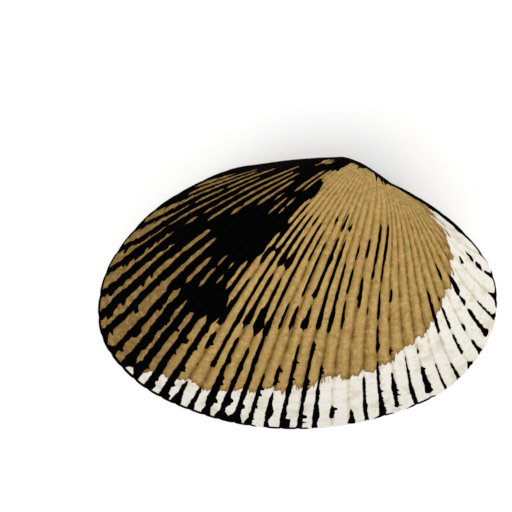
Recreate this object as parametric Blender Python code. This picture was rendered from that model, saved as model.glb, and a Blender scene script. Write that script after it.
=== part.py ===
"""One valve of a ribbed clam, lying on its margin with the outside up.

The outside is the surface that a growing margin sweeps: each younger margin is a smaller copy of
the present one, swung up round the hinge axis about the beak. Radial ribs follow the growth, the
inside is the outside lowered by the wall, and a recessed hinge plate with three teeth joins them.
Lengths are in millimetres until the mesh is written in metres. +X is the short (anterior) end,
+Y the hinge side, +Z the outside.
"""
import math

import bmesh
import bpy
import numpy as np
from mathutils import Vector
from mathutils.bvhtree import BVHTree

MM = 0.001

# Present margin in the plane of the hinge, from the posterior end of the hinge round the ventral
# side to its anterior end, and back along the hinge under the beak.
MARGIN = (
    (-8.0, 19.2), (-15.6, 16.4), (-23.1, 11.3), (-29.2, 2.5), (-29.6, -6.3), (-24.0, -13.5),
    (-13.5, -18.5), (-1.4, -20.4), (11.7, -18.8), (23.0, -13.9), (29.3, -5.3), (29.4, 2.6),
    (24.8, 9.4), (17.6, 14.8), (11.6, 17.4), (6.6, 17.7), (-0.5, 18.8),
)
HINGE_START = 14            # MARGIN point at the anterior end of the hinge
SPAN_STEPS = 40             # samples of the margin curve in each span

# Growth law, with the growth fraction running from 0 at the beak to 1 at the margin.
BEAK = (10.5, 18.45)
AXIS_TILT = math.radians(18.3)      # hinge axis, clockwise from +X
COIL = math.radians(111.0)          # how far the first margin has swung up
COIL_POWER = 0.76
TWIST = math.radians(-10.0)         # turn of the first margin in plan
ANTERIOR_POWER = 0.89               # the short end grows faster than the margin as a whole
POSTERIOR_POWER = 1.02
END_BLEND = 6.0                     # width of the change between the two ends
BEAK_LIFT = 0.9                     # height of the beak over the plane of the margin
BEAK_LIFT_POWER = 4
CREST = 0.36                        # low crest where the umbo turns over
CREST_AT = 8.3
CREST_HALF_WIDTH = 4.5

# Radial ribs, counted by the grooves between them from the posterior end of the hinge.
GROOVES = 45
END_COUNTS = (0.19, 45.26)          # count at the two ends of the hinge; groove 1 has count 1
RIB_PITCH = 2.42                    # before the stretches that follow
STRETCHES = ((0.107, 0.153, 2.17), (0.583, 0.102, 0.43), (0.987, 0.166, 3.28))
RIB_HEIGHT = 0.42
END_RIB_HEIGHT = 0.16               # of the ribs nearest the hinge, at either end
END_RIBS = 9                        # ribs over which the height grows to the full
MARGIN_RELIEF = 0.25                # share of the height that is left at the margin
MARGIN_FADE = 0.12                  # growth over which the rest is lost
RIB_SHOULDER = 0.27                 # from a groove to the flat top of a rib
HINGE_STEPS = 50
# Where the ribs bend: groove count, growth stage, reach in both, and how many grooves they move over.
BENDS = (
    (7.8, 0.33, 3.4, 0.14, 0.65), (7.0, 0.74, 4.2, 0.12, -0.30),
    (18.8, 0.50, 2.4, 0.17, -0.30), (28.6, 0.36, 1.8, 0.16, 0.55),
)

# Wall, rim, hinge plate and its teeth.
WALL = 1.5
RIM_WIDTH = 2.1
RIM_FLAT = 0.9                      # band of the rim that the valve rests on
RIM_ROLL = 0.45                     # how far the plain rim has risen at the edge of the hollow
PLATE_WIDTH = 4.7
PLATE_DEPTH = 0.9                   # recess of the hinge plate from the plane of the margin
PLATE_RUN = 13.0                    # length over which the plate narrows to the rim
TOOTH_RISE = 0.65
TOOTH_HALF_WIDTH = 0.95
TOOTH_BEARINGS = (-2.4, -1.78, -1.15)      # radians from +X, seen from the beak
TOOTH_REACH = (1.5, 5.0)            # distance of a tooth's two ends from the beak
INNER_STEEPNESS = 2.6               # slope of the inner wall where it leaves the rim
INNER_BLEND = 4
INNER_CENTRE = (-1.0, 5.0)           # under the highest part of the outside

OUTER_RINGS = (0.035, 0.075, 0.13, 0.20, 0.28, 0.37, 0.46, 0.55, 0.64, 0.73, 0.82, 0.91, 1.0)
RIM_RINGS = (0.0, 0.3, 0.52, 0.76, 1.0)
INNER_RINGS = (0.965, 0.905, 0.83, 0.74, 0.63, 0.49, 0.3)
GROWTH_STEP = 1e-3                  # difference in growth that normals are worked out over
PROBE_RINGS = 60
PROBE_HEIGHT = 40.0
ROOF_HALVINGS = 12                  # halvings that find how high the hollow reaches
MIN_ROOF = 0.1
COUNT_SAMPLES = 2000
TOOTH_END = 1.0                     # length over which a tooth's ends fade
SHARP_ANGLE = math.radians(35.0)


def smooth_step(x):
    x = np.clip(x, 0.0, 1.0)
    return x * x * (3.0 - 2.0 * x)


def bump_at(x, middle, reach):
    return np.exp(-((x - middle) / reach) ** 2)


def curve_span(p0, p1, p2, p3):
    """Centripetal Catmull-Rom curve from p1 to p2."""
    t1 = math.sqrt(np.linalg.norm(p1 - p0))
    t2 = t1 + math.sqrt(np.linalg.norm(p2 - p1))
    t3 = t2 + math.sqrt(np.linalg.norm(p3 - p2))
    t = np.linspace(t1, t2, SPAN_STEPS, endpoint=False)[:, None]
    a1 = ((t1 - t) * p0 + t * p1) / t1
    a2 = ((t2 - t) * p1 + (t - t1) * p2) / (t2 - t1)
    a3 = ((t3 - t) * p2 + (t - t2) * p3) / (t3 - t2)
    b1 = ((t2 - t) * a1 + t * a2) / t2
    b2 = ((t3 - t) * a2 + (t - t1) * a3) / (t3 - t1)
    return ((t2 - t) * b1 + (t - t1) * b2) / (t2 - t1)


def margin_curve():
    """The closed margin as many short steps, and the distance along it at each."""
    points = np.array(MARGIN)
    count = len(points)
    spans = [curve_span(*(points[(i + k) % count] for k in (-1, 0, 1, 2))) for i in range(count)]
    curve = np.vstack(spans + [points[:1]])
    steps = np.linalg.norm(np.diff(curve, axis=0), axis=1)
    return curve, np.concatenate([[0.0], np.cumsum(steps)])


def at_distance(wanted, distance, values):
    """Pairs of values, given along the margin, at the wanted distances."""
    return np.stack([np.interp(wanted, distance, values[:, i]) for i in range(2)], axis=-1)


def groove_count(along, ribbed):
    """Grooves passed at each distance along the margin; a stretch is (place, reach, added pitch)."""
    place = along / ribbed
    pitch = RIB_PITCH + sum(add * bump_at(place, at, reach) for at, reach, add in STRETCHES)
    passed = np.concatenate([[0.0], np.cumsum(np.diff(along) / (0.5 * (pitch[1:] + pitch[:-1])))])
    first, last = END_COUNTS
    return first + passed * (last - first) / passed[-1]


def around_samples(distance):
    """Each column's distance along the margin for every growth stage, and its groove's depth."""
    ribbed = distance[HINGE_START * SPAN_STEPS]
    along = np.linspace(0.0, ribbed, COUNT_SAMPLES)
    grooves = np.arange(1, GROOVES + 1)
    shoulders = np.array((-RIB_SHOULDER, 0.0, RIB_SHOULDER))
    counts = (grooves[:, None] + shoulders).ravel()
    stage = np.array(OUTER_RINGS)[:, None]
    bend = sum(shift * bump_at(counts, at, reach) * bump_at(stage, when, span)
               for at, when, reach, span, shift in BENDS)
    columns = np.interp(counts + bend, groove_count(along, ribbed), along)
    hinge = np.linspace(ribbed, distance[-1], HINGE_STEPS + 1)[1:]
    columns = np.hstack([columns, np.tile(hinge, (len(OUTER_RINGS), 1))])
    depth = rib_height(grooves)[:, None] * np.array((0.0, 1.0, 0.0))
    return columns, np.concatenate([depth.ravel(), np.zeros(HINGE_STEPS)])


def rib_height(counts):
    """Full height of the ribs beside each groove, less towards either end of the hinge."""
    from_end = np.minimum(counts, GROOVES + 1 - counts)
    return END_RIB_HEIGHT + (RIB_HEIGHT - END_RIB_HEIGHT) * smooth_step(from_end / END_RIBS)


def grow(margin, stage):
    """The smooth outside: a row of points for each growth stage, each grown from its margin point."""
    across = np.array((math.cos(AXIS_TILT), -math.sin(AXIS_TILT)))
    upward = np.array((math.sin(AXIS_TILT), math.cos(AXIS_TILT)))
    arm = margin - np.array(BEAK)
    xi = arm @ across
    eta = arm @ upward
    stage = np.asarray(stage)[:, None]
    swing = COIL * (1.0 - stage ** COIL_POWER)
    anterior = 0.5 + 0.5 * np.tanh(xi / END_BLEND)
    power = POSTERIOR_POWER + (ANTERIOR_POWER - POSTERIOR_POWER) * anterior
    x = stage ** power * xi
    y = stage * eta * np.cos(swing)
    z = -stage * eta * np.sin(swing) + BEAK_LIFT * (1.0 - stage) ** BEAK_LIFT_POWER
    twist = TWIST * (1.0 - stage)
    arm_x = x * across[0] + y * upward[0]
    arm_y = x * across[1] + y * upward[1]
    plan_x = BEAK[0] + arm_x * np.cos(twist) - arm_y * np.sin(twist)
    plan_y = BEAK[1] + arm_x * np.sin(twist) + arm_y * np.cos(twist)
    crest = CREST * bump_at(plan_x, CREST_AT, CREST_HALF_WIDTH) * (1.0 - stage) ** 2
    return np.stack([plan_x, plan_y + crest, z], axis=-1)


def outward_normals(margin, stage):
    """Unit normals of the smooth outside, level at the margin so that the rim stays flat."""
    later = grow(margin, np.minimum(stage + GROWTH_STEP, 1.0)) - grow(margin, stage - GROWTH_STEP)
    points = grow(margin, stage)
    beside = np.roll(points, -1, axis=1) - np.roll(points, 1, axis=1)
    normal = np.cross(later, beside)
    normal[-1, :, 2] = 0.0
    return normal / np.linalg.norm(normal, axis=-1, keepdims=True)


def outer_face(margin, depth):
    """The ribbed outside. Grooves deepen with growth, then fade so that the margin is nearly even."""
    stage = np.array(OUTER_RINGS)
    faded = (1.0 - MARGIN_RELIEF) * smooth_step((stage - 1.0 + MARGIN_FADE) / MARGIN_FADE)
    relief = (stage * (1.0 - faded))[:, None] * depth
    return grow(margin, stage) - outward_normals(margin, stage) * relief[..., None]


def inward_normals(columns, curve, distance):
    """Unit normals in the plane of the margin at each column, pointing into the valve."""
    loop = curve[:-1]
    tangent = np.roll(loop, -1, axis=0) - np.roll(loop, 1, axis=0)
    tangent = np.vstack([tangent, tangent[:1]])
    normal = np.stack([-tangent[:, 1], tangent[:, 0]], axis=-1)
    normal = at_distance(columns, distance, normal)
    return normal / np.linalg.norm(normal, axis=-1, keepdims=True)


def plate_share(columns, distance):
    """1 along the hinge, falling to 0 where the plate has narrowed to the plain rim."""
    ribbed = distance[HINGE_START * SPAN_STEPS]
    from_hinge = np.minimum(columns, np.maximum(ribbed - columns, 0.0))
    return 1.0 - smooth_step(from_hinge / PLATE_RUN)


def tooth_rise(plan):
    """How far the three teeth stand up from the hinge plate, fanning out below the beak."""
    arm = plan - np.array(BEAK)
    reach = np.linalg.norm(arm, axis=-1)
    bearing = np.arctan2(arm[..., 1], arm[..., 0])
    rise = np.zeros(reach.shape)
    for tooth in TOOTH_BEARINGS:
        aside = np.abs(reach * np.sin(bearing - tooth)) / TOOTH_HALF_WIDTH
        facing = np.cos(bearing - tooth) > 0.0
        rise = np.maximum(rise, smooth_step(1.0 - aside) * facing)
    start, end = TOOTH_REACH
    fade = smooth_step((reach - start) / TOOTH_END) * smooth_step((end - reach) / TOOTH_END)
    return TOOTH_RISE * rise * fade


def rim_face(edge, margin, inward, share):
    """Rings from the outer edge of the rim to the edge of the hollow."""
    width = RIM_WIDTH + (PLATE_WIDTH - RIM_WIDTH) * share
    rings = [edge]
    for part in RIM_RINGS:
        inset = RIM_FLAT + (width - RIM_FLAT) * part
        plan = margin + inward * inset[:, None]
        recess = PLATE_DEPTH * smooth_step(part / RIM_RINGS[1]) - tooth_rise(plan) * (part > 0.0)
        depth = recess * share + RIM_ROLL * part ** 2 * (1.0 - share)
        rings.append(np.column_stack([plan, depth]))
    return np.stack(rings)


def outside_probe(margin):
    """The smooth outside as a tree that answers how high the shell is over a plan point."""
    stage = np.linspace(OUTER_RINGS[0], 1.0, PROBE_RINGS)
    points = grow(margin, stage)
    count = len(margin)
    quads = [(r * count + c, r * count + (c + 1) % count,
              (r + 1) * count + (c + 1) % count, (r + 1) * count + c)
             for r in range(PROBE_RINGS - 1) for c in range(count)]
    return BVHTree.FromPolygons([Vector(p) for p in points.reshape(-1, 3)], quads)


def roof_height(probe, x, y):
    """Highest place over a plan point that keeps the wall's thickness to the outside."""
    low = 0.0
    high = probe.ray_cast(Vector((x, y, PROBE_HEIGHT)), Vector((0.0, 0.0, -1.0)))[0].z
    for _ in range(ROOF_HALVINGS):
        middle = 0.5 * (low + high)
        if probe.find_nearest(Vector((x, y, middle)))[3] < WALL:
            high = middle
        else:
            low = middle
    return low


def inner_face(edge, probe):
    """Rings from the edge of the hollow to its middle, and the point in the middle."""
    centre = np.array(INNER_CENTRE)
    arm = edge[:, :2] - centre
    length = np.linalg.norm(arm, axis=-1)
    rings = []
    for part in INNER_RINGS + (0.0,):
        plan = centre + arm * part
        roof = np.array([roof_height(probe, x, y) for x, y in plan]) - edge[:, 2]
        roof = np.maximum(roof, MIN_ROOF)
        held = roof * part / (INNER_STEEPNESS * (1.0 - part) * length)
        rise = roof / (1.0 + held ** INNER_BLEND) ** (1.0 / INNER_BLEND)
        rings.append(np.column_stack([plan, edge[:, 2] + rise]))
    middle = rings.pop()[0]
    return np.stack(rings), middle


def valve_points():
    curve, distance = margin_curve()
    columns, depth = around_samples(distance)
    courses = at_distance(columns, distance, curve)
    margin = courses[-1]
    outer = outer_face(courses, depth)
    inward = inward_normals(columns[-1], curve, distance)
    rim = rim_face(outer[-1], margin, inward, plate_share(columns[-1], distance))
    inner, middle = inner_face(rim[-1], outside_probe(margin))
    rings = np.concatenate([outer, rim[1:], inner])
    beak = np.array((BEAK[0], BEAK[1], BEAK_LIFT))
    return rings, beak, middle


def to_floor(rings, beak, middle):
    """Metres, with the origin under the middle of the valve's box."""
    low = rings.min(axis=(0, 1))
    high = rings.max(axis=(0, 1))
    origin = np.array(((low[0] + high[0]) / 2.0, (low[1] + high[1]) / 2.0, 0.0))
    return (rings - origin) * MM, (beak - origin) * MM, (middle - origin) * MM


def valve_mesh(rings, beak, middle):
    mesh = bpy.data.meshes.new("valve")
    bm = bmesh.new()
    rows = [[bm.verts.new(p) for p in ring] for ring in rings]
    count = len(rows[0])
    first = bm.verts.new(beak)
    last = bm.verts.new(middle)
    for i in range(count):
        j = (i + 1) % count
        bm.faces.new((first, rows[0][i], rows[0][j]))
        for row, below in zip(rows, rows[1:]):
            bm.faces.new((row[i], below[i], below[j], row[j]))
        bm.faces.new((rows[-1][i], last, rows[-1][j]))
    bmesh.ops.triangulate(bm, faces=bm.faces[:], quad_method='FIXED')
    bmesh.ops.recalc_face_normals(bm, faces=bm.faces[:])
    bm.to_mesh(mesh)
    bm.free()
    mesh.shade_smooth()
    mesh.set_sharp_from_angle(angle=SHARP_ANGLE)
    return mesh


def shell_material():
    material = bpy.data.materials.new("shell")
    material.use_nodes = True
    principled = material.node_tree.nodes["Principled BSDF"]
    principled.inputs["Base Color"].default_value = (0.434, 0.287, 0.100, 1.0)
    principled.inputs["Roughness"].default_value = 0.55
    principled.inputs["Metallic"].default_value = 0.0
    return material


def main():
    for item in list(bpy.data.objects):
        bpy.data.objects.remove(item, do_unlink=True)
    valve = bpy.data.objects.new("valve", valve_mesh(*to_floor(*valve_points())))
    valve.data.materials.append(shell_material())
    bpy.context.scene.collection.objects.link(valve)


main()
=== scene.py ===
"""Looks of one valve of a ribbed clam: the dense surface, its markings, and the studio round it.

A growing margin is swung up round the hinge axis about the beak, as in the solid, and the inside
keeps the wall's thickness below it. Only the peak on the crest and the worn ribs of the umbo are not
in the solid. Every vertex knows its count, the number of grooves passed round the margin (a half is
the middle of a rib), and its growth stage, from 0 at the beak to 1 at the margin. The markings are
painted from those two. Lengths are in millimetres until the mesh is written in metres; the
material's heights and the studio are in metres. +X is the short (anterior) end, +Y the hinge side.
"""

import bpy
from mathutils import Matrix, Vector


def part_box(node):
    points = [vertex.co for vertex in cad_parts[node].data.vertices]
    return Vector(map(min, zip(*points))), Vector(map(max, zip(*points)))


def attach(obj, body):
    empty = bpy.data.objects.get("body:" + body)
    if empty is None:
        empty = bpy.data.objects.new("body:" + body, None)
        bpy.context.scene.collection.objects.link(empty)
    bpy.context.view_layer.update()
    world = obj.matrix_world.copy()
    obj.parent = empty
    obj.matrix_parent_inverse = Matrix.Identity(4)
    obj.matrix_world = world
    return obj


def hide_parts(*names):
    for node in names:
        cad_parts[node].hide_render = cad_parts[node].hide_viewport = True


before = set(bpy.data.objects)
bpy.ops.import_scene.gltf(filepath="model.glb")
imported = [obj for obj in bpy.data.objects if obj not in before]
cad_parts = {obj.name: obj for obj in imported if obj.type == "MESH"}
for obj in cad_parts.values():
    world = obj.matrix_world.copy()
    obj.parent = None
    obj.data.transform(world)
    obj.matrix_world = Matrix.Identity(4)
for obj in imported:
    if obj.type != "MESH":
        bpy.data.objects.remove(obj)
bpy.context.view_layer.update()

import math

import bpy
import numpy as np
from mathutils import Vector
from mathutils.bvhtree import BVHTree

MM = 0.001
SEED = 4

# ---- shape, as in the solid
MARGIN = (  # the closed outline, from the posterior end of the hinge
    (-8, 19.2), (-15.6, 16.4), (-23.1, 11.3), (-29.2, 2.5), (-29.6, -6.3), (-24, -13.5), (-13.5, -18.5),
    (-1.4, -20.4), (11.7, -18.8), (23, -13.9), (29.3, -5.3), (29.4, 2.6), (24.8, 9.4), (17.6, 14.8),
    (11.6, 17.4), (6.6, 17.7), (-0.5, 18.8),
)
HINGE_START = 14  # the point where the ribs end and the hinge starts
SPAN_STEPS = 40
BEAK = (10.5, 18.45)
AXIS_TILT = math.radians(18.3)
COIL = math.radians(111.0)
COIL_POWER = 0.76
TWIST = math.radians(-10.0)
ANTERIOR_POWER = 0.89
POSTERIOR_POWER = 1.02
END_BLEND = 6.0
BEAK_LIFT = 0.9
BEAK_LIFT_POWER = 4
CREST = 0.36  # low crest where the umbo turns over
CREST_AT = 8.3
CREST_HALF_WIDTH = 4.5
PEAK = 0.22  # the peak on the crest
PEAK_AT = 6.9
PEAK_HALF_WIDTH = 1.3
GROOVES = 45
END_COUNTS = (0.19, 45.26)  # count at the two ends of the hinge; groove 1 has count 1
RIB_PITCH = 2.42
# where the ribs lie further apart: place along the margin, reach, added pitch
STRETCHES = ((0.107, 0.153, 2.17), (0.583, 0.102, 0.43), (0.987, 0.166, 3.28))
RIB_HEIGHT = 0.42
END_RIB_HEIGHT = 0.16
END_RIBS = 9
MARGIN_RELIEF = 0.25
MARGIN_FADE = 0.12
WALL = 1.5
RIM_WIDTH = 2.1
RIM_FLAT = 0.9
RIM_ROLL = 0.45
PLATE_WIDTH = 4.7
PLATE_DEPTH = 0.9
PLATE_RUN = 13.0
TOOTH_RISE = 0.65
TOOTH_HALF_WIDTH = 0.95
TOOTH_BEARINGS = (-2.4, -1.78, -1.15)
TOOTH_REACH = (1.5, 5.0)
TOOTH_END = 1.0
PLATE_SHOULDER = 0.3
INNER_STEEPNESS = 2.6
INNER_BLEND = 4
INNER_CENTRE = (-1.0, 5.0)
RIM_NOTCH = 0.16  # depth in the rim where a groove ends
GROWTH_STEP = 1e-3
PROBE_RINGS = 60
PROBE_START = 0.035
PROBE_HEIGHT = 40.0
ROOF_HALVINGS = 12
MIN_ROOF = 0.1
COUNT_SAMPLES = 2000
BENDS = (  # count, stage, reach in both, and the counts that ribs move
    (7.8, 0.33, 3.4, 0.14, 0.65), (7.0, 0.74, 4.2, 0.12, -0.30),
    (18.8, 0.50, 2.4, 0.17, -0.30), (28.6, 0.36, 1.8, 0.16, 0.55),
)

# ---- the dense mesh
RIB_PLACES = (-0.30, -0.21, -0.14, -0.07, 0.0, 0.07, 0.14, 0.21, 0.30, 0.5)
CLOSEST_COLUMNS = 0.03  # in counts
HINGE_STEPS = 60
FLANK_REACH = 0.19  # half width of a groove, in counts
WIDE_GROOVES = (9.0, 6.0, 0.08)  # count, reach and added half width of the widest ones
CROWN_SHARE = 0.13  # of a rib's height, which rises slowly to its middle
UMBO_STAGES = (0.012, 0.024, 0.038, 0.054, 0.072, 0.092)
GROWTH_LINES = 27
FIRST_LINE = 0.11
LINE_JITTER = 0.3  # share of their spacing by which growth lines stray
LINE_POWER = 0.93  # below 1, growth lines lie closer towards the margin
LINE_STEPS = (0.0, 0.1, 0.35, 0.65, 0.93)  # rows between two growth lines
EDGE_STAGES = (0.984, 0.989, 0.9925, 0.996)
EDGE_GAP = 0.002
LINE_DEPTH = 0.055
LINE_SHARE = 0.25  # of a growth line's depth, at the beak
LINE_RUN_OUT = 2.2  # power with which a line's step runs out
HINGE_LINES = 0.35  # share of the lines' depth left along the hinge
HALT_STAGE = 0.715  # the one strong growth halt
HALT_DEPTH = 0.13
WORN_STAGE = 0.30  # up to here the ribs of the umbo are worn down
WORN_RELIEF = 0.30
RIM_RINGS = (0.0, 0.1, 0.2, 0.3, 0.42, 0.54, 0.66, 0.78, 0.9, 1.0)
INNER_RINGS = 24
INNER_EVEN = 0.35  # 1 would space the inside's rings evenly
RIM_STAGES = (1.02, 1.2)  # past the margin the stage goes on above 1
MIDDLE_STAGE = 2.0
INNER_STAGES = 0.75
SHARP_ANGLE = math.radians(42.0)


def smooth_step(x):
    x = np.clip(x, 0.0, 1.0)
    return x * x * (3.0 - 2.0 * x)


def bump_at(x, middle, reach):
    return np.exp(-((x - middle) / reach) ** 2)


def between(low, high, share):
    return low + (high - low) * share


def patches(spots, counts, stage):
    """Sum of soft spots, each with its count, stage, reach in both, and strength."""
    return sum(strength * bump_at(counts, count, across) * bump_at(stage[:, None], at, along)
               for count, at, across, along, strength in spots)


def curve_span(p0, p1, p2, p3):
    """Centripetal Catmull-Rom curve from p1 to p2."""
    t1 = math.sqrt(np.linalg.norm(p1 - p0))
    t2 = t1 + math.sqrt(np.linalg.norm(p2 - p1))
    t3 = t2 + math.sqrt(np.linalg.norm(p3 - p2))
    t = np.linspace(t1, t2, SPAN_STEPS, endpoint=False)[:, None]
    a1 = between(p0, p1, t / t1)
    a2 = between(p1, p2, (t - t1) / (t2 - t1))
    a3 = between(p2, p3, (t - t2) / (t3 - t2))
    b1 = between(a1, a2, t / t2)
    b2 = between(a2, a3, (t - t1) / (t3 - t1))
    return between(b1, b2, (t - t1) / (t2 - t1))


def margin_curve():
    """The closed margin as many short steps, and the distance along it at each."""
    points = np.array(MARGIN)
    count = len(points)
    spans = [curve_span(*(points[(i + k) % count] for k in (-1, 0, 1, 2))) for i in range(count)]
    curve = np.vstack(spans + [points[:1]])
    steps = np.linalg.norm(np.diff(curve, axis=0), axis=1)
    return curve, np.concatenate([[0.0], np.cumsum(steps)])


def at_distance(wanted, distance, values):
    """Pairs of values, given along the margin, at the wanted distances."""
    return np.stack([np.interp(wanted, distance, values[:, i]) for i in range(2)], axis=-1)


def groove_count(along, ribbed):
    """Grooves passed at each distance along the margin."""
    place = along / ribbed
    pitch = RIB_PITCH + sum(add * bump_at(place, at, reach) for at, reach, add in STRETCHES)
    passed = np.concatenate([[0.0], np.cumsum(np.diff(along) / (0.5 * (pitch[1:] + pitch[:-1])))])
    first, last = END_COUNTS
    return first + passed * (last - first) / passed[-1]


def around_samples(distance, stage):
    """Each column's count, and its distance along the margin for every stage."""
    ribbed = distance[HINGE_START * SPAN_STEPS]
    along = np.linspace(0.0, ribbed, COUNT_SAMPLES)
    first, last = END_COUNTS
    counts = (np.arange(GROOVES + 1)[:, None] + np.array(RIB_PLACES)).ravel()
    inner = (counts > first + CLOSEST_COLUMNS) & (counts < last - CLOSEST_COLUMNS)
    counts = np.concatenate([[first], counts[inner], [last]])
    bent = counts + patches(BENDS, counts, stage)
    columns = np.interp(bent, groove_count(along, ribbed), along)
    hinge = np.linspace(ribbed, distance[-1], HINGE_STEPS + 2)[1:-1]
    back = np.linspace(last, first, HINGE_STEPS + 2)[1:-1]
    columns = np.hstack([columns, np.tile(hinge, (len(stage), 1))])
    return columns, np.concatenate([counts, back])


def grow(margin, stage):
    """The smooth outside: a row of points for each growth stage."""
    across = np.array((math.cos(AXIS_TILT), -math.sin(AXIS_TILT)))
    upward = np.array((math.sin(AXIS_TILT), math.cos(AXIS_TILT)))
    arm = margin - np.array(BEAK)
    xi = arm @ across
    eta = arm @ upward
    stage = np.asarray(stage)[:, None]
    swing = COIL * (1.0 - stage ** COIL_POWER)
    anterior = 0.5 + 0.5 * np.tanh(xi / END_BLEND)
    power = between(POSTERIOR_POWER, ANTERIOR_POWER, anterior)
    x = stage ** power * xi
    y = stage * eta * np.cos(swing)
    z = -stage * eta * np.sin(swing) + BEAK_LIFT * (1.0 - stage) ** BEAK_LIFT_POWER
    twist = TWIST * (1.0 - stage)
    arm_x = x * across[0] + y * upward[0]
    arm_y = x * across[1] + y * upward[1]
    plan_x = BEAK[0] + arm_x * np.cos(twist) - arm_y * np.sin(twist)
    plan_y = BEAK[1] + arm_x * np.sin(twist) + arm_y * np.cos(twist)
    crest = CREST * bump_at(plan_x, CREST_AT, CREST_HALF_WIDTH)
    crest = (crest + PEAK * bump_at(plan_x, PEAK_AT, PEAK_HALF_WIDTH)) * (1.0 - stage) ** 2
    return np.stack([plan_x, plan_y + crest, z], axis=-1)


def outward_normals(margin, stage):
    """Unit normals of the smooth outside, level at the margin so that the rim stays flat."""
    later = grow(margin, np.minimum(stage + GROWTH_STEP, 1.0)) - grow(margin, stage - GROWTH_STEP)
    points = grow(margin, stage)
    beside = np.roll(points, -1, axis=1) - np.roll(points, 1, axis=1)
    normal = np.cross(later, beside)
    normal[-1, :, 2] = 0.0
    return normal / np.linalg.norm(normal, axis=-1, keepdims=True)


def growth_lines():
    """Stages of the growth lines, uneven and closer together towards the margin."""
    rng = np.random.default_rng(SEED)
    even = np.linspace(0.0, 1.0, GROWTH_LINES + 1)
    jitter = rng.uniform(-LINE_JITTER, LINE_JITTER, GROWTH_LINES + 1) / GROWTH_LINES
    jitter[[0, -1]] = 0.0
    lines = FIRST_LINE + (1.0 - FIRST_LINE) * (even + jitter) ** LINE_POWER
    lines[np.argmin(np.abs(lines - HALT_STAGE))] = HALT_STAGE
    return lines


def outer_stages():
    """Stages of the outside's rows, and how deep the shell steps in at each."""
    lines = growth_lines()
    stages = list(UMBO_STAGES)
    depths = [0.0] * len(stages)
    for line, following in zip(lines, lines[1:]):
        fresh = LINE_DEPTH * between(LINE_SHARE, 1.0, line)
        strong = HALT_DEPTH if line == HALT_STAGE else fresh
        for step in LINE_STEPS:
            stages.append(line + (following - line) * step)
            depths.append(strong * (1.0 - step) ** LINE_RUN_OUT if step else 0.0)
    rows = np.array([stages, depths])
    rows = rows[:, rows[0] < EDGE_STAGES[0] - EDGE_GAP]
    edge = np.array((*EDGE_STAGES, 1.0))
    return np.hstack([rows, [edge, 0.0 * edge]])


def rib_profile(counts):
    """Height of a rib's section from 0 in a groove to 1 on the crown."""
    aside = np.abs(counts - np.round(counts))
    widest, across, added = WIDE_GROOVES
    flank = smooth_step(aside / (FLANK_REACH + added * bump_at(counts, widest, across)))
    crown = smooth_step(aside / 0.5)
    return between(flank, crown, CROWN_SHARE)


def rib_height(counts):
    """Full height of the ribs, less towards either end of the hinge."""
    from_end = np.minimum(counts, GROOVES + 1 - counts)
    return between(END_RIB_HEIGHT, RIB_HEIGHT, smooth_step(from_end / END_RIBS))


def outer_face(margin, counts, ribbed, stage, depths):
    """The ribbed outside. Grooves deepen with growth, then fade to a nearly even margin."""
    faded = (1.0 - MARGIN_RELIEF) * smooth_step((stage - 1.0 + MARGIN_FADE) / MARGIN_FADE)
    worn = between(WORN_RELIEF, 1.0, smooth_step(stage / WORN_STAGE))
    groove = rib_height(counts) * (1.0 - rib_profile(counts)) * ribbed
    stepped = depths[:, None] * between(HINGE_LINES, 1.0, ribbed)
    sunk = (stage * (1.0 - faded) * worn)[:, None] * groove + stepped
    return grow(margin, stage) - outward_normals(margin, stage) * sunk[..., None]


def inward_normals(columns, curve, distance):
    """Unit normals in the margin's plane at each column, pointing into the valve."""
    loop = curve[:-1]
    tangent = np.roll(loop, -1, axis=0) - np.roll(loop, 1, axis=0)
    tangent = np.vstack([tangent, tangent[:1]])
    normal = np.stack([-tangent[:, 1], tangent[:, 0]], axis=-1)
    normal = at_distance(columns, distance, normal)
    return normal / np.linalg.norm(normal, axis=-1, keepdims=True)


def plate_share(columns, distance):
    """1 along the hinge, falling to 0 where the plate has narrowed to the plain rim."""
    ribbed = distance[HINGE_START * SPAN_STEPS]
    from_hinge = np.minimum(columns, np.maximum(ribbed - columns, 0.0))
    return 1.0 - smooth_step(from_hinge / PLATE_RUN)


def tooth_rise(plan):
    """How far the three teeth stand up from the hinge plate, fanning out below the beak."""
    arm = plan - np.array(BEAK)
    reach = np.linalg.norm(arm, axis=-1)
    bearing = np.arctan2(arm[..., 1], arm[..., 0])
    rise = np.zeros(reach.shape)
    for tooth in TOOTH_BEARINGS:
        aside = np.abs(reach * np.sin(bearing - tooth)) / TOOTH_HALF_WIDTH
        facing = np.cos(bearing - tooth) > 0.0
        rise = np.maximum(rise, smooth_step(1.0 - aside) * facing)
    start, end = TOOTH_REACH
    fade = smooth_step((reach - start) / TOOTH_END) * smooth_step((end - reach) / TOOTH_END)
    return TOOTH_RISE * rise * fade


def rim_face(edge, margin, inward, share, notch):
    """Rings from the outer edge of the rim to the edge of the hollow."""
    width = between(RIM_WIDTH, PLATE_WIDTH, share)
    rings = [edge]
    for part in RIM_RINGS:
        inset = between(RIM_FLAT, width, part)
        plan = margin + inward * inset[:, None]
        recess = (PLATE_DEPTH - tooth_rise(plan)) * smooth_step(part / PLATE_SHOULDER)
        roll = RIM_ROLL * part ** 2 + notch * math.sin(math.pi * part) ** 2
        rings.append(np.column_stack([plan, between(roll, recess, share)]))
    return np.stack(rings)


def outside_probe(margin):
    """The smooth outside, as a tree that tells the shell's height over a plan point."""
    points = grow(margin, np.linspace(PROBE_START, 1.0, PROBE_RINGS))
    count = len(margin)
    quads = [(r * count + c, r * count + (c + 1) % count,
              (r + 1) * count + (c + 1) % count, (r + 1) * count + c)
             for r in range(PROBE_RINGS - 1) for c in range(count)]
    return BVHTree.FromPolygons([Vector(p) for p in points.reshape(-1, 3)], quads)


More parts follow.
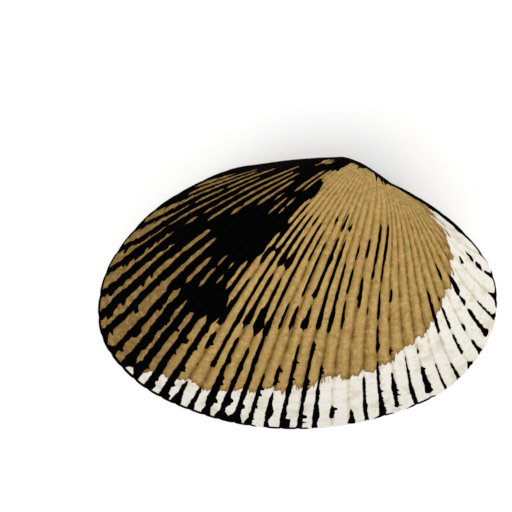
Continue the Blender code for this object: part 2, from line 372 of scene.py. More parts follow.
def roof_height(probe, x, y):
    """Highest place over a plan point that leaves the wall its thickness."""
    low = 0.0
    high = probe.ray_cast(Vector((x, y, PROBE_HEIGHT)), Vector((0.0, 0.0, -1.0)))[0].z
    for _ in range(ROOF_HALVINGS):
        middle = 0.5 * (low + high)
        if probe.find_nearest(Vector((x, y, middle)))[3] < WALL:
            high = middle
        else:
            low = middle
    return low


def inner_parts():
    """Shrink factors of the inside's rings, closer together where the wall is steep."""
    way = np.linspace(0.0, 1.0, INNER_RINGS + 2)[1:-1]
    return 1.0 - between(way ** 2, way, INNER_EVEN)


def inner_face(edge, probe):
    """Rings from the edge of the hollow to its middle, and the point in the middle."""
    centre = np.array(INNER_CENTRE)
    arm = edge[:, :2] - centre
    length = np.linalg.norm(arm, axis=-1)
    rings = []
    for part in inner_parts():
        plan = centre + arm * part
        roof = np.array([roof_height(probe, x, y) for x, y in plan]) - edge[:, 2]
        roof = np.maximum(roof, MIN_ROOF)
        held = roof * part / (INNER_STEEPNESS * (1.0 - part) * length)
        rise = roof / (1.0 + held ** INNER_BLEND) ** (1.0 / INNER_BLEND)
        rings.append(np.column_stack([plan, edge[:, 2] + rise]))
    return np.stack(rings), np.array((*INNER_CENTRE, roof_height(probe, *INNER_CENTRE)))


# ---- markings of the outside, the dark ones painted shade
# Painted shade, laid on as dark pigment, lies in the grooves. Its half width is in counts: from 0.5 on,
# neighbours join.
# On the posterior flank, turned from the light, it covers all but the bare streaks on the rib tops.
FLANK_END = 16
BARE = {  # rib: growth stages of its bare streaks, and their half widths
    2: ((0.775, 0.95, 0.26),),
    3: ((0.57, 0.73, 0.17), (0.66, 0.88, 0.28)),
    4: ((0.52, 0.8, 0.16), (0.795, 0.9, 0.2), (0.87, 0.985, 0.3)),
    5: ((0.41, 0.602, 0.21), (0.615, 0.735, 0.15), (0.755, 0.87, 0.14), (0.845, 1.1, 0.29)),
    6: ((0.45, 0.79, 0.115), (0.8, 0.905, 0.1), (0.9, 0.955, 0.19), (0.93, 1.1, 0.32)),
    7: ((0.305, 0.432, 0.215), (0.432, 0.517, 0.17), (0.52, 0.592, 0.1), (0.597, 0.636, 0.1),
        (0.655, 0.7, 0.13), (0.742, 0.83, 0.12), (0.81, 0.925, 0.19), (0.92, 1.1, 0.32)),
    8: ((0.325, 0.42, 0.165), (0.39, 0.48, 0.13), (0.46, 0.612, 0.105), (0.725, 0.82, 0.135),
        (0.8, 0.905, 0.19), (0.895, 0.95, 0.13), (0.94, 1.1, 0.31)),
    9: ((0.31, 0.5, 0.165), (0.502, 0.537, 0.16), (0.603, 0.7, 0.145), (0.68, 0.75, 0.11), (0.73, 0.88, 0.2),
        (0.85, 0.93, 0.25), (0.91, 1.1, 0.2)),
    10: ((0.338, 0.462, 0.175), (0.593, 0.66, 0.13), (0.63, 0.83, 0.165), (0.76, 0.99, 0.34)),
    11: ((0.383, 0.42, 0.1), (0.632, 0.72, 0.15), (0.738, 0.79, 0.17), (0.79, 0.9, 0.17), (0.86, 1.1, 0.26)),
    12: ((0.243, 0.362, 0.25), (0.39, 0.457, 0.12), (0.603, 0.636, 0.08), (0.64, 0.703, 0.11),
         (0.75, 0.92, 0.12), (0.9, 0.96, 0.15), (0.975, 1.1, 0.3)),
    13: ((0.24, 0.347, 0.17), (0.375, 0.412, 0.17), (0.416, 0.438, 0.15), (0.605, 0.628, 0.1),
         (0.64, 0.67, 0.1), (0.758, 0.86, 0.14), (0.82, 1.1, 0.24)),
    14: ((0.583, 0.668, 0.2), (0.748, 1.1, 0.28)),
    15: ((0.36, 0.447, 0.2), (0.48, 0.537, 0.14), (0.55, 0.69, 0.3), (0.745, 1.1, 0.26)),
}
STREAK_TAPER = 0.016  # stages over which a streak comes to a point
STREAK_UNEVEN = (30, 0.15)  # knots over the growth, and how far the width strays
STREAK_FALL = 14.0  # how fast the half width falls away past the points
BARE_LEANS = (  # count, stage, reach in both, and lean to the posterior side
    (7.5, 0.36, 0.8, 0.12, 0.26), (9.2, 0.48, 1.4, 0.3, 0.12), (13.5, 0.85, 0.7, 0.15, 0.14),
    (15.4, 0.6, 0.6, 0.12, 0.14), (12.5, 0.65, 0.8, 0.1, 0.06),
)
SOLID_COVER = 0.45  # painted shade beyond the middle of the rib where nothing is bare
UMBO_STREAKS = (  # count, stage, reach in both, half width taken away
    (9.75, 0.199, 1.55, 0.021, 1.3), (9.15, 0.232, 0.5, 0.03, 1),
)
# stage, and the count that the painted shade of the flank reaches
UMBO_LIMIT = (
    (0.09, 17), (0.115, 15.6), (0.14, 14.4), (0.165, 15), (0.185, 15.2), (0.2, 14.6), (0.216, 15.2),
    (0.222, 13.5), (0.25, 13.2), (0.278, 13.4), (0.284, 14.7), (0.3, 15.4), (0.33, 15.8), (0.42, 15.8),
    (0.44, 17),
)
UMBO_FADE = 0.25  # counts over which the flank's painted shade ends there
STROKES = {  # groove: growth stages where its painted shade starts and stops
    16: (0.36, 0.575, 0.61, 0.755, 0.765, 0.825, 0.86, 0.875, 0.92, 1),
    17: (0.395, 0.865, 0.92, 1),
    18: (0.39, 0.565, 0.575, 0.73, 0.755, 1),
    19: (0.385, 0.43, 0.45, 0.56, 0.58, 0.745, 0.775, 1),
    20: (0.4, 1),
    21: (0.42, 0.525, 0.63, 0.715, 0.83, 1),
    22: (0.375, 0.4, 0.45, 0.62, 0.635, 0.705, 0.8, 0.87, 0.885, 1),
    23: (0.35, 0.42, 0.43, 0.62, 0.63, 0.705, 0.735, 1),
    24: (0.385, 0.415, 0.435, 0.7, 0.725, 1),
    25: (0.5, 0.71, 0.79, 1),
    26: (0.435, 0.5, 0.51, 0.6, 0.605, 0.7, 0.92, 0.975),
    27: (0.415, 0.49, 0.535, 0.64, 0.94, 1),
    28: (0.36, 0.555, 0.63, 0.655, 0.84, 1),
    29: (0.355, 0.56, 0.575, 0.68, 0.685, 0.78, 0.8, 1),
    30: (0.575, 0.63, 0.665, 0.69, 0.705, 0.72, 0.76, 0.8, 0.815, 0.825, 0.845, 0.985),
    31: (0.8, 1),
    32: (0.8, 0.825, 0.86, 0.98),
    33: (0.88, 1),
    34: (0.62, 0.8, 0.92, 1),
    35: (0.67, 0.7, 0.715, 0.82, 0.835, 0.94, 0.975, 1),
    36: (0.555, 0.635, 0.835, 0.88, 0.92, 1),
    37: (0.645, 0.75, 0.755, 0.81, 0.825, 0.99),
    38: (0.86, 1),
    39: (0.69, 0.735, 0.93, 1),
    40: (0.78, 0.85, 0.855, 0.92, 0.925, 1),
    41: (0.965, 1),
}
# groove, and the half width of its strokes
STROKE_WIDTH = (
    (16, 0.21), (17, 0.19), (18, 0.2), (19, 0.19), (20, 0.18), (21, 0.15), (23, 0.17), (25, 0.14),
    (26, 0.13), (27, 0.13), (28, 0.14), (29, 0.12), (31, 0.1), (32, 0.15), (33, 0.07), (34, 0.12), (35, 0.1),
    (36, 0.11), (37, 0.15), (38, 0.09), (40, 0.12),
)
STROKE_POINT = 0.018  # stages over which a stroke comes to its point
STROKE_STOP = 0.010
STROKE_SWELL = (0.85, 1.25)  # share of the width at the start and the end
STROKE_UNEVEN = (42, 0.22)  # as for the bare streaks
PAST_MARGIN = 1.2  # stage where strokes end that run out on the margin
SLANTS = {  # groove: growth stages and how far its strokes lie off the groove
    16: ((0.4, 0.05), (0.7, -0.2), (0.85, -0.05)),
    18: ((0.5, 0), (0.68, -0.15), (0.8, -0.2), (0.95, 0)),
    20: ((0.5, 0), (0.72, -0.18), (0.9, 0)),
    21: ((0.42, -0.1), (0.7, -0.22), (0.85, -0.05)),
    22: ((0.38, -0.15), (0.52, -0.18), (0.68, -0.32), (0.82, -0.1), (0.95, 0)),
    23: ((0.35, 0.38), (0.5, 0.16), (0.6, -0.08), (0.74, -0.12), (0.85, 0)),
    24: ((0.38, 0.38), (0.48, 0.15), (0.6, 0), (0.85, 0.1)),
    26: ((0.45, 0), (0.6, -0.12), (0.7, 0)),
    27: ((0.48, 0), (0.62, 0.16)),
    29: ((0.34, 0.36), (0.43, 0.08), (0.5, -0.04)),
    30: ((0.6, 0.12), (0.66, -0.1), (0.9, -0.1)),
    39: ((0.71, 0.28), (0.85, 0)),
    40: ((0.8, 0.28), (0.87, 0.1), (0.93, 0)),
}
BLOTS = (  # count, stage, reach in both, half width added or taken away
    (17.75, 0.712, 0.5, 0.02, 0.22), (18.75, 0.7, 0.5, 0.028, 0.24), (19.35, 0.715, 0.5, 0.011, 0.6),
    (16.95, 0.48, 0.5, 0.07, 0.12), (18, 0.5, 0.5, 0.06, 0.1), (18.4, 0.545, 0.7, 0.012, 0.32),
    (18.95, 0.53, 0.5, 0.022, 0.18), (16.5, 0.525, 0.6, 0.006, 0.4), (19.9, 0.51, 0.4, 0.06, 0.06),
    (21.8, 0.685, 0.3, 0.025, 0.14), (23.3, 0.502, 0.4, 0.012, 0.26), (22.95, 0.43, 0.4, 0.05, 0.06),
    (24.2, 0.492, 0.3, 0.014, 0.14), (22.95, 0.68, 0.3, 0.02, 0.12), (24.05, 0.685, 0.3, 0.016, 0.12),
    (25, 0.665, 0.3, 0.028, 0.12), (26.9, 0.605, 0.3, 0.005, 0.26), (19.6, 0.99, 0.9, 0.012, 0.5),
    (28.3, 0.42, 0.9, 0.08, 0.06), (29, 0.42, 0.4, 0.08, 0.11), (37, 0.71, 0.5, 0.05, 0.14),
    (29.2, 0.975, 0.4, 0.02, 0.16), (39.1, 0.992, 0.8, 0.008, 0.5), (22.2, 0.945, 0.4, 0.014, 0.22),
    (18.05, 0.93, 0.5, 0.03, 0.14), (25.1, 0.955, 0.4, 0.02, 0.1), (22, 0.388, 0.4, 0.012, 0.24),
    (24.1, 0.4, 0.4, 0.014, 0.14), (17, 0.81, 0.5, 0.05, -0.09), (28, 0.495, 0.4, 0.04, -0.06),
    (30, 0.91, 0.4, 0.028, 0.08), (32.05, 0.95, 0.4, 0.028, 0.08), (34.1, 0.7, 0.4, 0.05, 0.07),
    (35.1, 0.74, 0.4, 0.06, 0.04), (36, 0.6, 0.4, 0.04, 0.06), (31, 0.825, 0.4, 0.03, -0.05),
    (34, 0.99, 0.5, 0.02, -0.08), (39.3, 0.715, 0.4, 0.02, 0.08), (35, 0.99, 0.5, 0.01, 0.16),
    (40.3, 0.815, 0.3, 0.03, 0.07), (30.9, 0.94, 0.4, 0.03, 0.08), (32, 0.868, 0.4, 0.012, -0.08),
)
FOOT_WIDTH = 0.12  # added where a stroke runs out on the margin
FOOT_STAGE = 0.955
FOOT_RUN = 0.04
BACK_LIMIT = (  # count, and the stage up to which the umbo's back is all painted shade
    (12, 0.11), (15, 0.12), (16, 0.135), (17, 0.125), (18.4, 0.135), (19, 0.162), (19.5, 0.135),
    (21, 0.13), (22, 0.112), (25, 0.115), (26.3, 0.115), (26.9, 0.178), (27.5, 0.135), (28.3, 0.14),
    (28.9, 0.185), (29.5, 0.145), (30.1, 0.175), (31, 0.155), (36, 0.158), (38, 0.175), (39, 0.187),
    (40, 0.212), (41, 0.265), (42, 0.32), (43, 0.42), (43.2, 0.46), (43.3, 1.1),
)
BACK_SHARPNESS = 8.0  # how fast that painted shade gives way with the stage
# count, and the width of the painted shade line along the margin
MARGIN_LINE = (
    (0, 0.5), (12, 0.45), (13.5, 0.38), (18, 0.34), (21.3, 0.28), (21.4, 0), (21.9, 0), (22, 0.3),
    (24.5, 0.3), (24.6, 0), (28.4, 0), (28.6, 0.35), (29.6, 0.2), (29.7, 0), (30.4, 0), (30.6, 0.3),
    (32.2, 0.25), (32.3, 0), (38.5, 0), (38.7, 0.3), (40.2, 0.35), (40.3, 0), (40.6, 0), (40.8, 0.32),
    (41.5, 0.65), (42, 1.2), (42.5, 2), (45.3, 2.3),
)
# groove, and how strongly its late painted shade is nubbed
NUBS = (
    (16, 1), (17, 0.1), (18, 1), (24, 1), (25, 0.7), (27, 0.7), (28, 0), (29, 0.5), (30, 0.9),
    (31, 0.1), (32, 0.3), (33, 0),
)
BLEACH_CENTRE = (-2.0, 6.0)
BLEACH_EDGE = (  # bearing from the centre, and how far the colour reaches
    (205, 60), (209, 31), (229, 24.9), (256, 20.9), (290, 20.2), (319, 23), (337, 24.7), (352, 25.4),
    (366, 24.6), (380, 22.4), (388, 24), (398, 60),
)
FAR_INSIDE = 20.0  # distances from the bleached zone are cut off at this

# ---- markings of the inside
SCARS = ((-20.5, 5.0, 3.4, 4.6), (22.0, 3.5, 3.0, 4.2))  # x, y and half sizes
SCAR_SOFTNESS = 1.6
PALLIAL_PART = 0.80  # from the middle to the rim
PALLIAL_WIDTH = 0.022
PALLIAL_STRENGTH = 0.75
PALLIAL_TOP = 4.0  # y from which the line fades in, and is full at 0


def along_counts(points, counts):
    """Values between the given ones, each with its count; the ends hold."""
    return np.interp(counts, *zip(*points))


def unevenness(stage, knots, amount, rng):
    """A factor near 1 that wanders with growth."""
    return np.interp(stage, np.linspace(0.0, 1.0, knots), rng.uniform(1.0 - amount, 1.0 + amount, knots))


def stroke(stage, start, end, width, rng):
    """Half width of one stroke: pointed at the start, fuller at the end."""
    taper = smooth_step((stage - start) / STROKE_POINT) * smooth_step((end - stage) / STROKE_STOP)
    along = np.clip((stage - start) / (end - start), 0.0, 1.0)
    foot = FOOT_WIDTH * smooth_step((stage - FOOT_STAGE) / FOOT_RUN) * rng.uniform(0.0, 1.0)
    swell = between(*STROKE_SWELL, along) * unevenness(stage, *STROKE_UNEVEN, rng)
    return (width * swell + foot) * taper


def bare_streak(stage, start, end, half, rng):
    """Half width of a bare streak, below zero past its pointed ends."""
    taper = smooth_step((stage - start) / STREAK_TAPER) * smooth_step((end - stage) / STREAK_TAPER)
    past = np.maximum(np.maximum(start - stage, stage - end), 0.0)
    return half * np.sqrt(taper) * unevenness(stage, *STREAK_UNEVEN, rng) - STREAK_FALL * past


def flank_painted_shade(stage):
    """Half width of the painted shade beside each rib of the posterior flank."""
    rng = np.random.default_rng(SEED + 1)
    bare = np.full((len(stage), FLANK_END), -SOLID_COVER)
    for rib, streaks in BARE.items():
        for start, end, half in streaks:
            bare[:, rib] = np.maximum(bare[:, rib], bare_streak(stage, start, end, half, rng))
    return 0.5 - bare


def groove_painted_shade(stage):
    """Half width of the painted shade strokes: a row for each stage, a column for each groove."""
    rng = np.random.default_rng(SEED)
    width = np.zeros((len(stage), GROOVES + 2))
    for groove, ends in STROKES.items():
        for start, end in zip(ends[::2], ends[1::2]):
            stop = end if end < 1.0 else PAST_MARGIN
            mark = stroke(stage, start, stop, along_counts(STROKE_WIDTH, groove), rng)
            width[:, groove] = np.maximum(width[:, groove], mark)
    return width


def stroke_width(counts, stage):
    """Half width of the strokes at every column; midway it is the mean of two grooves'."""
    per_groove = groove_painted_shade(stage)
    low = np.ceil(counts - 0.5).astype(int)
    high = np.floor(counts + 0.5).astype(int)
    return 0.5 * (per_groove[:, low] + per_groove[:, high])


def painted_shade_width(counts, stage):
    """Half width of the painted shade at every vertex of the outside."""
    rib = np.minimum(np.floor(counts).astype(int), FLANK_END - 1)
    lean = patches(BARE_LEANS, counts, stage) * np.sign(counts - rib - 0.5)
    flank = flank_painted_shade(stage)[:, rib] + lean
    limit = np.interp(stage, *zip(*UMBO_LIMIT))[:, None]
    flank = flank * np.clip(1.0 - (counts - limit) / UMBO_FADE, 0.0, 1.0) * (counts < FLANK_END)
    strokes = stroke_width(counts, stage)
    shared = (counts > FLANK_END - 0.5) & (flank < 0.5)
    width = np.maximum(np.where(shared, 0.0, flank), strokes)
    width = width + patches(BLOTS, counts, stage) - patches(UMBO_STREAKS, counts, stage)
    return np.maximum(width, 0.0)


def stroke_slant(counts, stage):
    """How far the strokes lie off their grooves at every vertex of the outside."""
    nearest = np.round(counts).astype(int)
    slant = np.zeros((len(stage), len(counts)))
    for groove, places in SLANTS.items():
        slant[:, nearest == groove] = np.interp(stage, *zip(*places))[:, None]
    return slant


def edge_painted_shade(points, counts, ribbed, stage):
    """Above zero in the painted shade: the dark line along the margin and the umbo's dark back."""
    from_edge = np.linalg.norm((points - points[-1])[..., :2], axis=-1)
    line = along_counts(MARGIN_LINE, counts) - from_edge
    back = BACK_SHARPNESS * (along_counts(BACK_LIMIT, counts) - stage[:, None])
    beyond = BACK_SHARPNESS * (BACK_LIMIT[0][1] - stage[:, None])
    return np.clip(np.where(ribbed > 0.0, np.maximum(line, back), beyond), -1.0, 1.0)


def bleached(points):
    """How far out in the bleached zone each point lies, below zero where it is coloured."""
    arm = points[..., :2] - np.array(BLEACH_CENTRE)
    bearing = np.degrees(np.arctan2(arm[..., 1], arm[..., 0]))
    bearing = np.where(bearing < 90.0, bearing + 360.0, bearing)
    reach = np.interp(bearing, *zip(*BLEACH_EDGE))
    return np.maximum(np.linalg.norm(arm, axis=-1) - reach, -FAR_INSIDE)


# ---- mesh
MAP_SPAN = 88.0  # side of the square map
MAP_MARGIN = 1.5
MAP_CENTRE = (8.0, 13.0)  # the umbo on the map of the outside


def valve_surface():
    """Points, values and map places, ring by ring from the beak to the inside's middle."""
    curve, distance = margin_curve()
    stage, depths = outer_stages()
    columns, counts = around_samples(distance, stage)
    courses = at_distance(columns, distance, curve)
    margin = courses[-1]
    ribbed = (np.arange(len(counts)) < len(counts) - HINGE_STEPS).astype(float)
    outer = outer_face(courses, counts, ribbed, stage, depths)
    inward = inward_normals(columns[-1], curve, distance)
    share = plate_share(columns[-1], distance)
    notch = RIM_NOTCH * (1.0 - rib_profile(counts)) * ribbed
    rim = rim_face(outer[-1], margin, inward, share, notch)
    inner, middle = inner_face(rim[-1], outside_probe(margin))
    smooth = grow(courses, stage)
    # painted shade along the margin and on the umbo's back
    edge = edge_painted_shade(smooth, counts, ribbed, stage)
    bleach = bleached(np.concatenate([smooth, rim[1:], inner]))
    values = surface_values(counts, ribbed, stage, edge, bleach, len(rim) - 1, inner)
    flat = map_places(margin, stage, rim, inner)
    return np.concatenate([outer, rim[1:], inner]), middle, values, flat


def surface_values(counts, ribbed, stage, edge, bleach, rim_rings, inner):
    """The named values of every vertex, as one array of rings each."""
    blank = np.zeros((rim_rings + len(inner), len(counts)))
    rings = np.ones((len(stage) + len(blank), 1))
    deeper = np.concatenate([stage, np.linspace(*RIM_STAGES, rim_rings),
                             MIDDLE_STAGE - inner_parts() * INNER_STAGES])
    return {
        "grooves": rings * counts,
        "stage": deeper[:, None] * np.ones(len(counts)),
        "painted_shade": np.concatenate([painted_shade_width(counts, stage) * ribbed, blank]),
        "edge": np.concatenate([edge, blank - 1.0]),
        "bleach": bleach,
        "slant": np.concatenate([stroke_slant(counts, stage), blank]),
        "ribbed": rings * ribbed,
        "nubs": rings * along_counts(NUBS, np.round(counts)),
        "scar": np.concatenate([np.zeros((len(stage) + rim_rings, len(counts))), scars(inner)]),
    }


def scars(inner):
    """1 in the two adductor scars and along the pallial line of the inside."""
    x = inner[..., 0]
    y = inner[..., 1]
    mark = np.zeros(x.shape)
    for sx, sy, across, along in SCARS:
        out = SCAR_SOFTNESS * np.hypot((x - sx) / across, (y - sy) / along)
        mark = np.maximum(mark, smooth_step(SCAR_SOFTNESS - out))
    below = smooth_step((PALLIAL_TOP - y) / PALLIAL_TOP)
    line = bump_at(inner_parts()[:, None], PALLIAL_PART, PALLIAL_WIDTH) * below
    return np.maximum(mark, PALLIAL_STRENGTH * line)


def map_places(margin, stage, rim, inner):
    """The flat map: the outside spread like a fan, the rest in plan, and their middle points."""
    centre = np.array(MAP_CENTRE)
    outer = centre + (margin - centre) * stage[:, None, None]
    first = margin.min(axis=0) - MAP_MARGIN
    second = first - (0.0, margin.max(axis=0)[1] - first[1] + MAP_MARGIN)
    rest = np.concatenate([rim, inner])[..., :2]
    return ((outer - first) / MAP_SPAN, (rest - second) / MAP_SPAN,
            (centre - first) / MAP_SPAN, (np.array(INNER_CENTRE) - second) / MAP_SPAN)


def face_rings(count, rings):
    """Corners of the quads between rings, and of the fans at the two ends."""
    first = count * rings
    here = np.arange(count)
    there = (here + 1) % count
    row = np.arange(rings - 1)[:, None] * count
    quads = np.stack([row + here, row + here + count, row + there + count, row + there], axis=-1)
    start = np.stack([np.full(count, first), here, there], axis=-1)
    last = (rings - 1) * count
    end = np.stack([last + here, np.full(count, first + 1), last + there], axis=-1)
    return quads.reshape(-1, 4), start, end


def build_mesh(rings, middle, values, flat):
    """The mesh in metres, with its values and its map, over the solid that it stands for."""
    count = rings.shape[1]
    beak = np.array((*BEAK, BEAK_LIFT))
    quads, start, end = face_rings(count, len(rings))
    points = np.vstack([rings.reshape(-1, 3), beak, middle])
    points[:, 2] = np.maximum(points[:, 2], 0.0)
    points[:, :2] -= (rings.min(axis=(0, 1)) + rings.max(axis=(0, 1)))[:2] / 2.0
    points *= MM
    points[:, :2] += np.mean(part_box("valve"), axis=0)[:2]
    mesh = bpy.data.meshes.new("clam_valve")
    mesh.from_pydata(points.tolist(), [], start.tolist() + quads.tolist() + end.tolist())
    for name, rows in values.items():
        ends = (rows[0].mean(), rows[-1].mean())
        if name == "stage":
            ends = (0.0, MIDDLE_STAGE)
        layer = mesh.attributes.new(name, 'FLOAT', 'POINT')
        layer.data.foreach_set("value", np.concatenate([rows.ravel(), ends]).astype(np.float32))
    write_map(mesh, len(rings), count, flat, (start, quads, end))
    mesh.shade_smooth()
    mesh.set_sharp_from_angle(angle=SHARP_ANGLE)
    mesh.update()
    return mesh


def write_map(mesh, rings, count, flat, faces):
    """The flat map, corner by corner; rings up to the margin use the first part of it."""
    outer_map, rest_map, beak, middle = flat
    outer_rings = len(outer_map)
    start, quads, end = faces
    outer_points = np.vstack([outer_map.reshape(-1, 2), beak[None]])
    rest_points = np.vstack([rest_map.reshape(-1, 2), middle[None]])
    shift = (outer_rings - 1) * count
    starts = np.where(start == rings * count, len(outer_points) - 1, start)
    ends = np.where(end == rings * count + 1, len(rest_points) - 1 + shift, end) - shift
    corners = np.vstack([
        outer_points[starts.ravel()], outer_points[quads[:shift].ravel()],
        rest_points[quads[shift:].ravel() - shift], rest_points[ends.ravel()],
    ])
    layer = mesh.uv_layers.new(name="OFBake")
    layer.uv.foreach_set("vector", corners.ravel().astype(np.float32))


# ---- material
def srgb(*levels):
    """Linear colour of 8-bit levels."""
    shares = [level / 255.0 for level in levels]
    return tuple(c / 12.92 if c <= 0.04045 else ((c + 0.055) / 1.055) ** 2.4 for c in shares) + (1.0,)


TAN = srgb(181, 148, 86)
TAN_DARK = srgb(150, 117, 60)
PALE_TAN_AND_HIGHLIGHT = srgb(200, 170, 106)
PAINTED_GROOVE_SHADE = srgb(142, 110, 48)
TAN_GREEN = srgb(156, 137, 76)
TAN_PINK = srgb(188, 144, 98)
TAN_RUST = srgb(146, 98, 44)
FLANK_SHADE_BROWN = srgb(121, 93, 50)
FLANK_DARK = srgb(94, 74, 30)
FLANK_RUST = srgb(152, 102, 58)
FLANK_PALE = srgb(174, 146, 94)
GROOVE_BROWN = srgb(104, 74, 26)
# near black of the painted shade on the flank and in the grooves
PAINTED_SHADE_BLACK = srgb(3, 2, 2)
CHALK = srgb(244, 240, 230)
CHALK_STAIN = srgb(216, 204, 176)
CHALK_LINE = srgb(202, 186, 154)
FRINGE = srgb(120, 82, 34)
INSIDE_PALE = srgb(214, 196, 160)
INSIDE_WARM = srgb(186, 152, 102)
INSIDE_STAIN = srgb(168, 132, 84)
SCAR_TINT = srgb(168, 140, 100)
WHITE = (1.0, 1.0, 1.0, 1.0)
FLOOR_TONE = (0.80, 0.80, 0.80, 1.0)

# Blotches: size in mm, noise level where they start, strength, tint, offset of their pattern.
TAN_BLOTCHES = (
    (1.9, 0.46, 0.65, TAN_GREEN, 0.0), (1.5, 0.46, 0.70, TAN_PINK, 0.31),
    (0.9, 0.54, 0.60, TAN_RUST, 0.73), (0.6, 0.48, 0.80, PALE_TAN_AND_HIGHLIGHT, 0.12),
)
FLANK_BLOTCHES = (
    (1.1, 0.46, 0.80, FLANK_DARK, 0.27), (0.9, 0.48, 0.60, FLANK_RUST, 0.83),
    (0.8, 0.47, 0.65, FLANK_PALE, 0.61),
)
CHALK_BLOTCHES = ((2.6, 0.50, 0.60, CHALK_STAIN, 0.44), (0.7, 0.54, 0.50, CHALK_STAIN, 0.91))
INSIDE_BLOTCHES = ((1.1, 0.56, 0.40, INSIDE_STAIN, 0.57),)
BLOTCH_FADE = 0.18
# Patterns drawn out over the shell: pace by count, pace by stage, detail, roughness.
STREAKS = (2.6, 10.0, 4.0, 0.65)
BANDS = (0.14, 42.0, 3.0, 0.6)
RAYS = (1.6, 2.0, 3.0, 0.6)
STAIN_RINGS = (0.10, 26.0, 3.0, 0.6)
STRIAE = (0.5, 150.0, 2.0, 0.6)
THREADS = (8.0, 12.0, 2.0, 0.5)
# Pairs are ranges: levels of a noise, growth stages, counts, or what comes of them.
LATE = (0.66, 0.86)  # the painted shade turns ragged
ROUGH_PACE = 44.0
ROUGH_SWING = (0.30, 0.42)  # early and late
NUB_GROOVES = (18.0, 21.0)
NUB_PACE = (34.0, 52.0)
NUB_LEVELS = (0.52, 0.62)
LIVELY_PACE = 9.0
LIVELY_LEVELS = (0.38, 0.60)
NUB_REACH = (0.04, 0.34)
SIDE_STEPS = (3.17, 1.37)  # keep the noises of grooves, and of their two sides, apart
SHARP = (-0.02, 0.02)
LOOSE_EDGE = 0.16
WANDER = (15.0, 0.45)  # pace and reach
WEAR_PACE = 26.0
GROOVE_GROWN = (0.19, 0.42)  # the groove lines come up
LINE_WIDTHS = (0.06, 0.22)
SHADE_REACH = (0.06, 0.38)
CROWN_HIGHLIGHT = (0.22, 0.42)  # painted highlight: a rib turns paler away from its groove
FLANK_TONE = (12.5, 16.5)  # the painted shade brown of the posterior flank gives way to tan
TORN = (8.0, 1.3, 4.5)  # pace, scale and reach of the bleached zone's torn border
INSIDE_FROM = 1.004  # stage past which a place is on the rim or inside
SATIN = (0.48, 0.66)
PAINTED_SHADE_ROUGHER = 0.3
INSIDE_SMOOTHER = 0.2
SHELL_GLOSS = 0.01
STRIAE_HEIGHT = (0.00002, 0.00009)  # metres, at the umbo and near the margin
THREAD_HEIGHT = 0.00005
GRAIN_HEIGHT = 0.00003
INSIDE_EVENER = 0.85
MIX_INPUTS = (0, 6, 7)  # share and two colours
MIX_RESULT = 2
NOISE_INPUTS = ("Scale", "Detail", "Roughness", "Distortion")


class Nodes:
    """Short calls that add nodes to one node tree."""

    def __init__(self, tree):
        self.tree = tree

    def put(self, kind, inputs=(), **settings):
        node = self.tree.nodes.new(kind)
        for key, value in settings.items():
            setattr(node, key, value)
        for key, value in dict(inputs).items():
            self.feed(node.inputs[key], value)
        return node

    def feed(self, socket, value):
        if isinstance(value, bpy.types.NodeSocket):
            self.tree.links.new(value, socket)
        else:
            socket.default_value = value

    def value(self, name):
        return self.put("ShaderNodeAttribute", attribute_name=name).outputs["Fac"]

    def math(self, operation, *values, clamp=False):
        inputs = dict(enumerate(values))
        return self.put("ShaderNodeMath", inputs, operation=operation, use_clamp=clamp).outputs[0]

    def times(self, first, second):
        return self.math('MULTIPLY', first, second)

    def plus(self, first, second, **clamp):
        return self.math('ADD', first, second, **clamp)

    def minus(self, first, second):
        return self.math('SUBTRACT', first, second)

    def swing(self, noise, reach):
        """A noise that pushes both ways."""
        return self.times(self.minus(noise, 0.5), reach)

    def ramp(self, value, low, high, to_low=0.0, to_high=1.0, kind="SMOOTHSTEP"):
        inputs = dict(enumerate((value, low, high, to_low, to_high)))
        return self.put("ShaderNodeMapRange", inputs, interpolation_type=kind).outputs["Result"]

    def vector(self, x, y, z=0.0):
        return self.put("ShaderNodeCombineXYZ", {"X": x, "Y": y, "Z": z}).outputs[0]

    def noise(self, vector, *settings):
        """A noise; the settings are its scale, detail, roughness and distortion."""
        inputs = {"Vector": vector, **dict(zip(NOISE_INPUTS, settings))}
        return self.put("ShaderNodeTexNoise", inputs).outputs["Fac"]

    def mix(self, share, first, second):
        inputs = dict(zip(MIX_INPUTS, (share, first, second)))
        return self.put("ShaderNodeMix", inputs, data_type='RGBA').outputs[MIX_RESULT]


def new_material(name):
    """A material, its node calls and the inputs of its shader."""
    material = bpy.data.materials.new(name)
    material.use_nodes = True
    return material, Nodes(material.node_tree), material.node_tree.nodes["Principled BSDF"].inputs


def shell_places(n):
    """Where a point of the outside lies: along its groove and beside it."""
    count = n.value("grooves")
    nearest = n.math('ROUND', count)
    beside = n.minus(count, nearest)
    return {"count": count, "stage": n.value("stage"), "nearest": nearest, "beside": beside,
            "aside": n.math('ABSOLUTE', beside)}


def grown_noise(n, at, pattern):
    """A pattern drawn out over the shell."""
    around, along, detail, roughness = pattern
    place = n.vector(n.times(at["count"], around), n.times(at["stage"], along))
    return n.noise(place, 1.0, detail, roughness)


def line_noise(n, at, line, pace, layer=0.0, detail=3.0, roughness=0.6):
    """A noise that runs along each groove by itself."""
    return n.noise(n.vector(line, n.times(at["stage"], pace), layer), 1.0, detail, roughness)


def nubs(n, at, painted_shade, side, right, late):
    """Added half width of the nubs on the anterior side of late painted shade."""
    pace = n.ramp(at["nearest"], *NUB_GROOVES, *NUB_PACE)
    lumps = line_noise(n, at, side, pace, 7.0, 1.0, 0.5)
    lively = line_noise(n, at, side, LIVELY_PACE, 3.0, 1.0, 0.5)
    nub = n.times(n.ramp(lumps, *NUB_LEVELS), n.times(right, late))
    nub = n.times(nub, n.ramp(lively, *LIVELY_LEVELS, *NUB_REACH))
    return n.times(nub, n.times(n.ramp(painted_shade, 0.06, 0.10), n.value("nubs")))


